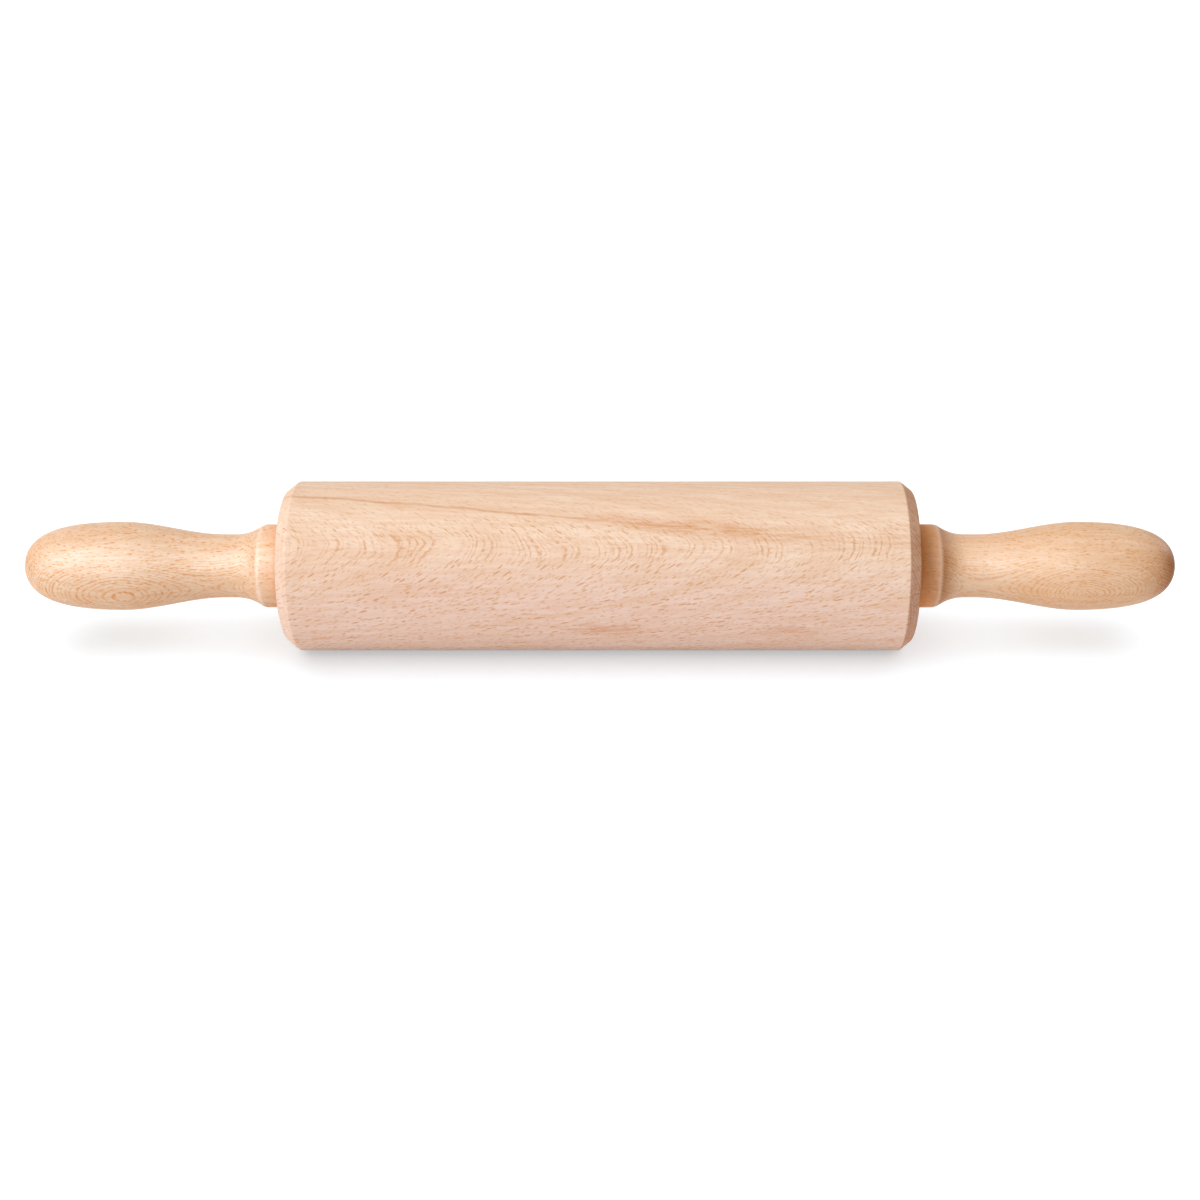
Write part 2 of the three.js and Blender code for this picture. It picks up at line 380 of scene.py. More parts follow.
@dataclass
class Board(Nodes):
    """A finish of beech while it is drawn: the log, and where in it each point lies."""

    wood: Beech
    point: Socket = field(init=False)
    along: Socket = field(init=False)
    across: Socket = field(init=False)
    out: Socket = field(init=False)
    off: Socket = field(init=False)
    radius: Socket = field(init=False)

    def __post_init__(self) -> None:
        """Find each point's place in the log and its distance from the heart."""
        self.point = self.log_point()
        self.along, self.across, self.out = self.add("SeparateXYZ", (self.point,)).node.outputs
        self.off = self.add("Math", (self.across,), operation="ABSOLUTE")
        self.radius = self.heart_distance()

    def log_point(self) -> Socket:
        """Turn the piece's coordinates into millimetres in the log.

        Returns:
            The point along the grain, across it, and out from the heart.
        """
        wood = self.wood
        turn = Euler((math.radians(wood.facing - 90.0), -wood.slope, 0.0))
        middle = turn.to_matrix() @ Vector((wood.centre, 0.0, 0.0))
        return self.add(
            "Mapping",
            {
                "Vector": self.add("TexCoord", output="Object"),
                "Location": tuple(Vector((0.0, 0.0, wood.heart)) - middle),
                "Rotation": tuple(turn),
                "Scale": (1 / MM, 1 / MM, 1 / MM),
            },
        )

    def mottle(self, size: Point, octaves: float) -> Socket:
        """Add a soft mottle that is stretched along the grain.

        Args:
            size: Its size along and across the grain.
            octaves: How many finer sizes it holds.

        Returns:
            The mottle, about one half on average.
        """
        along, across = size
        stretch = (1 / along, 1 / across, 1 / across)
        place = self.add("VectorMath", (self.point, stretch), operation="MULTIPLY")
        return self.add("TexNoise", {"Vector": place, "Scale": 1.0, "Detail": octaves})

    def heart_distance(self) -> Socket:
        """Measure how far each point lies from the log's heart, with the log's slow sway.

        Returns:
            The distance from the heart.
        """
        flat = self.add("VectorMath", (self.point, CROSSWISE), operation="MULTIPLY")
        straight = self.add("VectorMath", (flat,), "Value", operation="LENGTH")
        waves = self.mottle(SWAY_SIZE, 2.0)
        return self.add("Math", (waves, self.wood.sway, straight), operation="MULTIPLY_ADD")

    def ring_shade(self, radius: Socket, width: float) -> Socket:
        """Draw the year rings: a slow darkening that ends quicker, stronger in some years.

        Args:
            radius: The distance from the heart.
            width: A year's growth.

        Returns:
            How dark the ring is, from 0 to 1.
        """
        years = self.add("Math", (radius, width), operation="DIVIDE")
        age = self.add("Math", (years,), operation="FRACT")
        year = self.add("Math", (years,), operation="FLOOR")
        luck = self.add("TexWhiteNoise", {"W": year}, noise_dimensions="1D")
        weight = self.add("MapRange", {"Value": luck, "To Min": FAINTEST_YEAR})
        return self.fade(weight, (age, *YEAR_DARKENS, *RISE), (age, *YEAR_ENDS, *FALL))

    def layer_shade(self) -> Socket:
        """Draw the fine layers within the rings, which show as arcs where the rings lie flat.

        Returns:
            How dark the layer is, from 0 to its strength.
        """
        layers = self.wood.layers
        wobble = self.mottle(WOBBLE_SIZE, 1.0)
        place = self.add("Math", (wobble, LAYER_WOBBLE, self.radius), operation="MULTIPLY_ADD")
        if layers.crest:
            depth = self.add("Math", (layers.crest, place), operation="SUBTRACT")
            place = self.add("Math", (depth,), operation="SQRT")
        count = self.add("Math", (place, layers.width), operation="DIVIDE")
        drift, groups = (
            self.add(
                "TexNoise", {"W": count, "Scale": scale, "Detail": octaves}, noise_dimensions="1D"
            )
            for scale, octaves in ((LAYER_DRIFT_SCALE, 1.0), (LAYER_GROUP_SCALE, 0.0))
        )
        drifted = self.add("Math", (drift, layers.drift, count), operation="MULTIPLY_ADD")
        lines = self.add("Math", (self.product(drifted, math.tau),), operation="SINE")
        crumbs = self.mottle(CRUMB_SIZE, 1.0)
        reach = (layers.full_reach, layers.end_reach)
        return self.fade(
            layers.strength,
            (lines, *LAYER_EDGE, *RISE),
            (groups, *CLUSTER_EDGE, layers.evenness, 1.0),
            (crumbs, *CLUSTER_EDGE, *CRUMB_LEVELS),
            (self.off, *reach, *FALL),
        )

    def ray_shade(self, size: Rays) -> Socket:
        """Draw one size of ray: thin sheets that stand out from the heart and show as dark dashes.

        Args:
            size: The rays' size and room.

        Returns:
            How dark the ray is, from 0 to its strength.
        """
        angle = self.add("Math", (self.across, self.out), operation="ARCTAN2")
        around = self.product(angle, self.wood.heart)
        wrapped = self.add("CombineXYZ", (self.along, around, self.radius))
        packing = tuple(1 / side for side in size.room)
        packed = self.add("VectorMath", (wrapped, packing), operation="MULTIPLY")
        cells = self.add("TexVoronoi", {"Vector": packed, "Scale": 1.0}).node.outputs
        away = self.add("VectorMath", (packed, cells["Position"]), operation="SUBTRACT")
        offset = self.add("VectorMath", (away, size.room), operation="MULTIPLY")
        lean = self.fade(
            self.wood.ray_lean,
            (self.across, *LEAN_REACH, -1.0, 1.0),
            (self.off, *LEAN_FADES, *LEAN_LEVELS),
        )
        turned = self.add("VectorRotate", {"Vector": offset, "Angle": lean}, rotation_type="Z_AXIS")
        luck = self.add("SeparateColor", (cells["Color"],)).node.outputs
        shortest, longest = (share * size.length for share in RAY_HALF_LENGTHS)
        length = self.add("MapRange", {"Value": luck[0], "To Min": shortest, "To Max": longest})
        half = self.add("CombineXYZ", (length, size.width / 2, size.depth / 2))
        share = self.add("VectorMath", (turned, half), operation="DIVIDE")
        reach = self.add("VectorMath", (share,), "Value", operation="LENGTH")
        return self.fade(
            size.strength,
            (reach, *RAY_EDGE, *FALL),
            (luck[1], *RISE, *RAY_LEVELS),
            (self.off, *FLAT_REACH, *FLAT_LEVELS),
            (self.across, *CALM_REACH, 1.0, self.wood.calm_side),
        )

    def vein_shade(self, vein: Vein) -> Socket:
        """Draw the long slanting vein: a broken thin line that spreads into a soft band.

        Args:
            vein: The vein's place and sizes.

        Returns:
            How dark the vein is, from 0 to 1.
        """
        slant = self.add("Math", (self.along, vein.climb, vein.middle), operation="MULTIPLY_ADD")
        level = self.add("Math", (slant, vein.lowest, vein.bend), operation="SMOOTH_MAX")
        waves = self.mottle(VEIN_WAVE_SIZE, 3.0)
        wavy = self.add("Math", (waves, vein.wave, level), operation="MULTIPLY_ADD")
        apart = self.add("Math", (self.across, wavy), operation="SUBTRACT")
        off = self.add("Math", (apart,), operation="ABSOLUTE")
        breaks = self.mottle(VEIN_BREAK_SIZE, 2.0)
        core = (VEIN_CORE * vein.half_width, vein.half_width)
        fades = vein.band_from - VEIN_FADE
        line = self.fade(
            vein.line_strength,
            (off, *core, *FALL),
            (breaks, *BREAK_EDGE, *BREAK_LEVELS),
            (self.along, fades, vein.band_from, 1.0, VEIN_FAINT),
        )
        fibres = self.mottle(VEIN_FIBRE_SIZE, 2.0)
        opens = (fades, vein.band_from + BAND_OPENS)
        closes = (vein.band_to - BAND_CLOSES, vein.band_to + BAND_CLOSES)
        band = self.fade(
            vein.band_strength,
            (off, 0.0, vein.band_width, *FALL),
            (fibres, *BAND_EDGE, *BAND_LEVELS),
            (self.along, *opens, VEIN_FAINT, 1.0),
            (self.along, *closes, 1.0, BAND_LEFT),
        )
        return self.add("Math", (line, band), operation="ADD")

    def streak_shade(self, streak: Streak) -> Socket:
        """Draw one short brown streak with ragged ends.

        Args:
            streak: The streak's place and sizes.

        Returns:
            How dark the streak is, from 0 to its strength.
        """
        middle = (streak.along, streak.across, 0.0)
        away = self.add("VectorMath", (self.point, middle), operation="SUBTRACT")
        shrink = (1 / streak.half_length, 1 / streak.half_width, 0.0)
        share = self.add("VectorMath", (away, shrink), operation="MULTIPLY")
        reach = self.add("VectorMath", (share,), "Value", operation="LENGTH")
        rough = self.mottle(STREAK_FIBRE_SIZE, 2.0)
        ragged = self.add("Math", (rough, STREAK_RAGGED, reach), operation="MULTIPLY_ADD")
        return self.fade(streak.strength, (ragged, *STREAK_EDGE, *FALL))

    def blush_shade(self) -> Socket:
        """Find how rosy the wood is, which changes slowly from one side to the other.

        Returns:
            How much of the rosy tone shows, from 0 to 1.
        """
        blush = self.mottle(BLUSH_SIZE, 2.0)
        drifted = self.add("Math", (blush, BLUSH_DRIFT, self.across), operation="MULTIPLY_ADD")
        fades = (self.wood.rosy_side - BLUSH_FADE, self.wood.rosy_side + BLUSH_FADE)
        return self.fade(1.0, (drifted, *fades, *FALL))

    def tone_band_level(self, stain: Stain) -> Socket:
        """Find how much of a ring of tone shows.

        Args:
            stain: The ring's place and reach.

        Returns:
            How much of the ring shows, from 0 to its strength.
        """
        along = self.add("SeparateXYZ", (self.add("TexCoord", output="Object"),), "X")
        apart = self.add("Math", (along, stain.place * MM), operation="SUBTRACT")
        off = self.add("Math", (apart,), operation="ABSOLUTE")
        return self.fade(stain.strength, (off, 0.0, stain.reach * MM, *FALL))

    def end_grain_and_shade_level(self) -> Socket:
        """Find where the cut runs across the fibres, which drink in more and look deeper there. The
        share for the right end is far stronger than for the left: painted shade on the side away
        from the key lamp.

        Returns:
            How much end grain and painted shade show, from 0 to the finish's share for that end.
        """
        along = self.add("SeparateXYZ", (self.add("TexCoord", output="Normal"),), "X")
        slight, full = END_EDGE
        left, right = self.wood.end_grain_and_shade_strengths
        ends = (
            self.fade(left, (along, -full, -slight, *FALL)),
            self.fade(right, (along, slight, full, *RISE)),
        )
        return self.add("Math", ends, operation="ADD")

    def colour(self, rays: Socket, fibre: Socket, end: Socket) -> Socket:
        """Build up the wood's colour, wash by wash.

        Args:
            rays: How dark the rays are.
            fibre: The fine fibres' mottle.
            end: How much end grain shows, with painted shade on the right ends.

        Returns:
            The colour.
        """
        wood = self.wood
        patches = self.add("MapRange", (self.mottle(PATCH_SIZE, 3.0), *PATCH_EDGE))
        rings = self.product(self.ring_shade(self.radius, wood.ring_width), wood.ring_strength)
        strong = wood.strand_strength
        strands = (self.mottle(STRAND_SIZE, 2.0), *STRAND_EDGE, *RISE)
        washes = [
            (patches, wood.warm),
            (self.blush_shade(), wood.rosy),
            (rings, wood.ring_colour),
            (self.fade(STRAND_SHARE * strong, strands), wood.ring_colour),
            (self.fade(strong, (fibre, *FIBRE_EDGE, *RISE)), wood.ring_colour),
            (self.layer_shade(), wood.ray_colour),
            (rays, wood.ray_colour),
        ]
        if wood.vein:
            washes.append((self.vein_shade(wood.vein), wood.vein_colour))
        # Rings of painted shade, shadow, highlight and sheen, and a faint tone of the wood.
        washes += [(self.tone_band_level(stain), stain.colour) for stain in wood.painted_light_and_stains]
        washes += [(self.streak_shade(streak), wood.vein_colour) for streak in wood.streaks]
        slant = (self.across, CUT_RING_SLANT, self.radius)
        slanted = self.add("Math", slant, operation="MULTIPLY_ADD")
        cut_rings = self.product(self.ring_shade(slanted, CUT_RING_SHARE * wood.ring_width), end)
        # End grain, with painted shade on the right ends, and the year rings cut by the chamfers
        # deepen the colour.
        cuts = [(end, wood.end_grain_and_shade_colour), (cut_rings, wood.ring_colour)]
        tone = linear(wood.pale)
        for blend, layers in (("MIX", washes), ("MULTIPLY", cuts)):
            for shade, code in layers:
                mixed = {MIX_FACTOR: shade, MIX_A: tone, MIX_B: linear(code)}
                tone = self.add("Mix", mixed, blend_type=blend, **COLOUR_MIX)
        return tone

    def gloss(self, end: Socket) -> Socket:
        """Find how much the surface shines: less on end grain, and changed in some rings of tone.

        Args:
            end: How much end grain shows, with painted shade on the right ends.

        Returns:
            The gloss.
        """
        ramps = [(end, *RISE, 1.0, END_GLOSS)]
        for stain in self.wood.painted_light_and_stains:
            if stain.gloss != 1.0:
                ramps.append((self.tone_band_level(stain), 0.0, stain.strength, 1.0, stain.gloss))
        return self.fade(self.wood.gloss, *ramps)

    def finish(self) -> None:
        """Draw the wood's colour, gloss, roughness and pores, and show them."""
        wood = self.wood
        rays, *more = (self.ray_shade(size) for size in wood.rays)
        for shade in more:
            rays = self.add("Math", (rays, shade), operation="MAXIMUM")
        fibre = self.mottle(wood.fibre_size, 2.0)
        smoothest = wood.roughness - ROUGH_SPREAD / 2
        dull = self.add("Math", (fibre, ROUGH_SPREAD, smoothest), operation="MULTIPLY_ADD")
        pores = self.add("Math", (rays, PORE_SHARE, fibre), operation="MULTIPLY_ADD")
        bumps = {"Strength": wood.bump, "Distance": WOOD_BUMP * MM, "Height": pores}
        end = self.end_grain_and_shade_level()
        surface = self.add(
            "BsdfPrincipled",
            {
                "Base Color": self.colour(rays, fibre, end),
                "Roughness": dull,
                "Normal": self.add("Bump", bumps),
                "IOR": WOOD_IOR,
                "Specular IOR Level": self.gloss(end),
            },
        )
        self.add("OutputMaterial", (surface,))


# Raw beech off the lathe, sanded and left bare: pale, dry and matt, a little rosy, with the
# rays as fine brown dashes and one dark vein that slants across the front.
RAW_BEECH = Beech(
    name="raw beech, turned and sanded",
    pale="#F0D9C4",
    warm="#EACEB6",
    rosy="#E8CCC0",
    ring_colour="#DDB08C",
    ray_colour="#CB8338",
    # The right end's strong end-grain share is mostly painted shade.
    end_grain_and_shade_colour="#DFBFA6",
    end_grain_and_shade_strengths=(0.07, 0.85),
    facing=42.3,
    heart=40.0,
    slope=-0.09,
    sway=3.0,
    centre=0.0,
    ring_width=2.6,
    ring_strength=0.35,
    layers=Layers(0.21, 0.5, evenness=0.25, drift=2.0, full_reach=2.5, end_reach=6.0),
    rays=(
        Rays(length=4.0, width=0.38, depth=5.0, room=(3.1, 1.15, 4.5), strength=0.68),
        Rays(length=2.2, width=0.28, depth=3.0, room=(1.8, 0.8, 2.6), strength=0.55),
    ),
    ray_lean=0.36,
    calm_side=0.45,
    fibre_size=(11.0, 0.4),
    rosy_side=6.0,
    strand_strength=0.3,
    roughness=0.62,
    gloss=0.07,
    bump=0.22,
    vein=Vein(
        middle=9.1, climb=-0.0946, lowest=0.2, half_width=0.75,
        band_width=5.2, band_from=15.0, band_to=70.0,
    ),
    # Two short brown streaks low on the front, and a broad faint patch on the left.
    streaks=(
        Streak(along=3.0, across=-25.6, half_length=21.0, half_width=2.5, strength=0.52),
        Streak(along=66.0, across=-25.9, half_length=16.0, half_width=1.9, strength=0.36),
        Streak(along=-68.0, across=-11.0, half_length=70.0, half_width=14.0, strength=0.12),
    ),
    # Painted light on the chamfers: the greyer wash on the left chamfer is a painted sheen, the
    # pale line at its crease a painted highlight, and the dark line at the right chamfer's crease
    # painted shade.
    painted_light_and_stains=(
        Stain(-108.2, 2.6, 0.2, "#E6DCD6"),
        Stain(-106.0, 0.7, 0.15, "#FBEBDC"),
        Stain(106.0, 0.6, 0.4, "#B06F45"),
    ),
)


@dataclass(frozen=True)
class Speckled:
    """A finish whose colour, roughness and height all follow one fine speckle.

    `grit` is the speckle's size, coarser than a real one, which would be too fine to show.
    """

    name: str
    colour: str
    dark: str
    roughness: float
    grit: float
    _: KW_ONLY
    spread: float = 0.16
    bump: float = 0.01
    bump_strength: float = 0.3
    octaves: float = 3.0
    metallic: float = 1.0
    ior: float = 1.5

    def place(self, nodes: Nodes) -> Socket:
        """Where each point lies in the speckle."""
        return nodes.add("TexCoord", output="Object")

    def material(self) -> bpy.types.Material:
        """Make the material.

        Returns:
            The finished steel or nylon.
        """
        material = empty_material(self.name)
        nodes = Nodes(material.node_tree)
        noise = {"Vector": self.place(nodes), "Scale": 1 / (self.grit * MM), "Detail": self.octaves}
        speckle = nodes.add("TexNoise", noise)
        tones = {MIX_FACTOR: speckle, MIX_A: linear(self.dark), MIX_B: linear(self.colour)}
        dull = (speckle, self.spread, self.roughness - self.spread / 2)
        bumps = {"Strength": self.bump_strength, "Distance": self.bump * MM, "Height": speckle}
        surface = nodes.add(
            "BsdfPrincipled",
            {
                "Base Color": nodes.add("Mix", tones, **COLOUR_MIX),
                "Metallic": self.metallic,
                "Roughness": nodes.add("Math", dull, operation="MULTIPLY_ADD"),
                "Normal": nodes.add("Bump", bumps),
                "IOR": self.ior,
            },
        )
        nodes.add("OutputMaterial", (surface,))
        return material


@dataclass(frozen=True)
class Steel(Speckled):
    """A steel finish: bright grey metal whose fine scratches show how it was made."""

    surface: SteelSurface

    def place(self, nodes: Nodes) -> Socket:
        """Draw the speckle out into lines along the rod or circles about the axle.

        Args:
            nodes: The material's nodes.

        Returns:
            Where each point lies in the speckle.
        """
        spot = super().place(nodes)
        if self.surface is SteelSurface.DRAWN:
            return nodes.add("VectorMath", (spot, DRAWN_SQUEEZE), operation="MULTIPLY")
        if self.surface is SteelSurface.GROUND:
            flat = nodes.add("VectorMath", (spot, CROSSWISE), operation="MULTIPLY")
            radius = nodes.add("VectorMath", (flat,), "Value", operation="LENGTH")
            return nodes.add("CombineXYZ", (nodes.add("SeparateXYZ", (spot,), "X"), radius))
        return spot


@dataclass(frozen=True)
class Nylon(Speckled):
    """Natural nylon out of a mould: milky, a little yellow, with a faint flow mottle."""

    spread: float = 0.2
    bump: float = 0.02
    bump_strength: float = 0.2
    octaves: float = 2.0
    metallic: float = 0.0
    ior: float = 1.53


@dataclass
class TurnedPiece:
    """A piece that is turned on the lathe: an outline spun about the axle, with eased corners.

    The outline of a `ring` closes on itself round a through bore.
    """

    node: str
    body: str
    slot: str
    steps: int
    ring: bool

    def outline(self) -> list[Point]:
        """The outline's points, each a place along the axle and a radius."""
        raise NotImplementedError

    def corners(self) -> list[tuple[Point, float]]:
        """The outline's corners that are eased, each with its radius."""
        raise NotImplementedError

    def finish(self) -> Beech:
        """The piece's own cut of beech."""
        raise NotImplementedError

    def build(self) -> bpy.types.Object:
        """Spin the outline, ease its corners and hang the piece on its body.

        Returns:
            The piece, which stands for its solid.
        """
        shape = bmesh.new()
        dots = [shape.verts.new((along * MM, 0.0, radius * MM)) for along, radius in self.outline()]
        pairs = list(zip(dots, dots[1:]))
        if self.ring:
            pairs.append((dots[-1], dots[0]))
        lines = [shape.edges.new(pair) for pair in pairs]
        bmesh.ops.spin(
            shape,
            geom=dots + lines,
            cent=(0.0, 0.0, 0.0),
            axis=(1.0, 0.0, 0.0),
            angle=2 * math.pi,
            steps=self.steps,
            use_merge=True,
        )
        bmesh.ops.remove_doubles(shape, verts=shape.verts, dist=MERGE_DISTANCE)
        for corner, ease in self.corners():
            self.ease_corner(shape, corner, ease)
        bmesh.ops.recalc_face_normals(shape, faces=shape.faces)
        mesh = bpy.data.meshes.new(f"turned_{self.node}")
        shape.to_mesh(mesh)
        shape.free()
        mesh.shade_smooth()
        piece = bpy.data.objects.new(f"turned_{self.node}", mesh)
        bpy.context.scene.collection.objects.link(piece)
        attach(piece, self.body)
        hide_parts(self.node)
        return piece

    def dress(self, piece: bpy.types.Object) -> None:
        """Give the piece its beech."""
        piece.data.materials.append(self.finish().material())

    def ease_corner(self, shape: bmesh.types.BMesh, corner: Point, ease: float) -> None:
        """Round the ring of edges at a corner of the outline.

        Args:
            shape: The spun mesh.
            corner: The corner's place along the axle and radius.
            ease: The width of the rounding.
        """
        along, radius = corner
        ring = [
            edge
            for edge in shape.edges
            if all(
                abs(dot.co.x - along * MM) < CORNER_TOLERANCE
                and abs(math.hypot(dot.co.y, dot.co.z) - radius * MM) < CORNER_TOLERANCE
                for dot in edge.verts
            )
        ]
        bmesh.ops.bevel(
            shape,
            geom=ring,
            offset=ease * MM,
            offset_type="OFFSET",
            affect="EDGES",
            segments=CORNER_SEGMENTS,
            profile=0.5,
            material=-1,
        )


@dataclass
class Barrel(TurnedPiece):
    """The roller: a long cylinder with chamfered ends, bored for the axle and both bearings."""

    node: str = "barrel"
    body: str = "roller"
    slot: str = "raw_beech"
    steps: int = 160
    ring: bool = True
    half_length: float = 110.0
    barrel_radius: float = 30.0
    chamfer_length: float = 4.0
    chamfer_depth: float = 3.2
    bore_radius: float = 5.0
    relief_radius: float = 9.03
    relief_at: float = 101.75
    seat_radius: float = 11.15
    seat_at: float = 102.55
    seat_lead: float = 0.5
    chamfer_ease: float = 0.35
    face_ease: float = 0.5
    support: float = 0.9

    @property
    def face_radius(self) -> float:
        """The radius of the end face, inside the chamfer."""
        return self.barrel_radius - self.chamfer_depth

    @property
    def chamfer_at(self) -> float:
        """Where the right chamfer starts."""
        return self.half_length - self.chamfer_length

    def half_outline(self) -> list[Point]:
        """The right half of the outline, from the bore out to the long face."""
        end = self.half_length
        full = self.barrel_radius
        near = self.support / math.hypot(self.chamfer_length, self.chamfer_depth)
        along, inwards = near * self.chamfer_length, near * self.chamfer_depth
        return [
            (self.relief_at, self.bore_radius),
            (self.relief_at, self.relief_radius),
            (self.seat_at, self.relief_radius),
            (self.seat_at, self.seat_radius),
            (end - self.seat_lead, self.seat_radius),
            (end, self.seat_radius + self.seat_lead),
            (end, self.face_radius - self.support),
            (end, self.face_radius),
            (end - along, self.face_radius + inwards),
            (self.chamfer_at + along, full - inwards),
            (self.chamfer_at, full),
            (self.chamfer_at - self.support, full),
        ]

    def outline(self) -> list[Point]:
        """The whole outline: the right half and its mirror image."""
        half = self.half_outline()
        return half + [(-along, radius) for along, radius in reversed(half)]

    def corners(self) -> list[tuple[Point, float]]:
        """The edges of both chamfers."""
        eased = []
        for side in Side:
            eased.append(((side.value * self.half_length, self.face_radius), self.face_ease))
            eased.append(((side.value * self.chamfer_at, self.barrel_radius), self.chamfer_ease))
        return eased

    def finish(self) -> Beech:
        """The barrel's bare beech."""
        return RAW_BEECH


@dataclass
class Handle(TurnedPiece):
    """A grip: collar, cove, slim neck, belly and blunt round tip, drilled for the axle."""

    node: str = ""
    body: str = "handles"
    slot: str = "oiled_beech"
    steps: int = 112
    ring: bool = False
    side: Side = Side.LEFT
    face_at: float = 110.6
    length: float = 93.2
    collar_radius: float = 14.8
    collar_length: float = 8.4
    cove_radius: float = 16.7
    neck_radius: float = 11.25
    neck_length: float = 3.8
    belly_radius: float = 15.7
    belly_from_tip: float = 34.3
    tip_bluntness: float = 0.65
    tip_fullness: float = 0.74
    belly_ease: float = 0.33
    neck_ease: float = 0.35
    hole_radius: float = 4.15
    hole_end: float = 166.6
    collar_ease: float = 0.4
    shoulder_ease: float = 1.3
    neck_from_shoulder: float = 14.0
    support: float = 0.9
    curve_points: int = 28
    cove_points: int = 14
    shoulder_points: int = 7

    def curve(self, points: list[Point], count: int) -> list[Point]:
        """Follow a Bezier curve.

        Args:
            points: Its two ends and two handles, each a place along the axle and a radius.
            count: How many points to take.

        Returns:
            The points, both ends among them.
        """
        knots = [Vector((along, radius, 0.0)) for along, radius in points]
        return [(spot.x, spot.y) for spot in interpolate_bezier(*knots, count)]

    def cove(self, shoulder_at: float, cove_length: float) -> list[Point]:
        """The hollow between the neck and the collar's shoulder, an arc of a circle.

        Args:
            shoulder_at: The shoulder's place along the axle.
            cove_length: The hollow's length along the axle.

        Returns:
            The points from the neck over the rounded shoulder.
        """
        sweep = math.asin(cove_length / self.cove_radius) - self.shoulder_ease / self.cove_radius
        arc = []
        for step in range(self.cove_points + 1):
            turned = sweep * step / self.cove_points
            along = shoulder_at + cove_length - self.cove_radius * math.sin(turned)
            arc.append((along, self.neck_radius + self.cove_radius * (1 - math.cos(turned))))
        start = Vector(arc[-1])
        corner = Vector((shoulder_at, self.collar_radius))
        end = Vector((shoulder_at - self.shoulder_ease, self.collar_radius))
        rounding = [start, start.lerp(corner, QUADRATIC), end.lerp(corner, QUADRATIC), end]
        return arc + self.curve([tuple(knot) for knot in rounding], self.shoulder_points)[1:]

    def outline(self) -> list[Point]:
        """The outline from the middle of the tip to the bottom of the blind hole."""
        tip = self.face_at + self.length
        belly_at = tip - self.belly_from_tip
        shoulder_at = self.face_at + self.collar_length
        rise = self.collar_radius - self.neck_radius
        cove_length = math.sqrt(2 * self.cove_radius * rise - rise * rise)
        neck_at = shoulder_at + cove_length + self.neck_length
        swell = belly_at - neck_at
        dome = [
            (tip, 0.0),
            (tip, self.tip_bluntness * self.belly_radius),
            (belly_at + self.tip_fullness * self.belly_from_tip, self.belly_radius),
            (belly_at, self.belly_radius),
        ]
        taper = [
            (belly_at, self.belly_radius),
            (belly_at - self.belly_ease * swell, self.belly_radius),
            (neck_at + self.neck_ease * swell, self.neck_radius),
            (neck_at, self.neck_radius),
        ]
        collar = [
            (self.face_at + self.support, self.collar_radius),
            (self.face_at, self.collar_radius),
            (self.face_at, self.collar_radius - self.support),
        ]
        hole = [
            (self.face_at, self.hole_radius),
            (self.hole_end, self.hole_radius),
            (self.hole_end, 0.0),
        ]
        half = [
            *self.curve(dome, self.curve_points),
            *self.curve(taper, self.curve_points)[1:],
            *self.cove(shoulder_at, cove_length),
            *collar,
            *hole,
        ]
        return [(self.side.value * along, radius) for along, radius in half]

    def corners(self) -> list[tuple[Point, float]]:
        """The edge of the collar's face."""
        return [((self.side.value * self.face_at, self.collar_radius), self.collar_ease)]

    def finish(self) -> Beech:
        """The handle's own cut of lacquered beech.

        Satin lacquer deepens the wood and gives it a soft sheen. Each handle shows its own
        nested ovals low on the belly, where the rings lie flat in the surface.

        Returns:
            The finish.
        """
        sign, pick = self.side.value, self.side.pick
        joint = sign * self.face_at
        shoulder = sign * (self.face_at + self.collar_length)
        neck = shoulder + sign * self.neck_from_shoulder
        return Beech(
            name=f"lacquered beech, {self.side.word} handle",
            # The right handle's tones are a little darker and deeper than the left's: painted
            # shade.
            pale=pick("#EACEB5", "#E8C6A8"),
            warm=pick("#E4C2A5", "#E0B998"),
            rosy=pick("#E4C0A4", "#DEB79A"),
            ring_colour="#D6A16E",
            ray_colour="#CC7E24",
            # The right tip's strong end-grain share is mostly painted shade.
            end_grain_and_shade_colour="#C59745",
            end_grain_and_shade_strengths=(0.1, 1.0),
            facing=pick(-13.0, -8.0),
            heart=45.0,
            slope=pick(0.056, -0.015),
            sway=0.8,
            centre=pick(-157.0, 168.0),
            ring_width=2.2,
            ring_strength=0.25,
            layers=Layers(
                0.115, pick(0.8, 0.62), evenness=0.6, drift=1.0,
                full_reach=7.0, end_reach=12.0, crest=61.2,
            ),
            rays=(
                Rays(2.8, 0.42, depth=0.8, room=(2.0, 0.85, 1.0), strength=pick(0.9, 0.75)),
                Rays(1.7, 0.3, depth=0.5, room=(1.4, 0.65, 0.7), strength=pick(0.65, 0.55)),
            ),
            ray_lean=0.0,
            calm_side=0.9,
            fibre_size=(5.0, 0.36),
            rosy_side=-4.0,
            strand_strength=0.34,
            roughness=0.48,
            gloss=0.3,
            bump=0.15,
            # On the collar against the barrel, painted shade that is much deeper on the right
            # handle, with duller gloss; a thin painted contact shadow where the collar meets the
            # barrel; a painted highlight on the shoulder's rounded edge; a faint deeper tone on the
            # neck, with more gloss.
            painted_light_and_stains=(
                Stain(joint, pick(9.5, 13.0), pick(0.36, 0.72), "#DC8A42", pick(0.9, 0.0)),
                Stain(joint, pick(3.6, 2.8), 0.6, "#B8682C", 0.0),
                Stain(shoulder, 1.3, 0.28, "#FBE8D6"),
                Stain(neck, 18.0, pick(0.05, 0.1), "#E2C2A4", pick(1.15, 1.9)),
            ),
        )


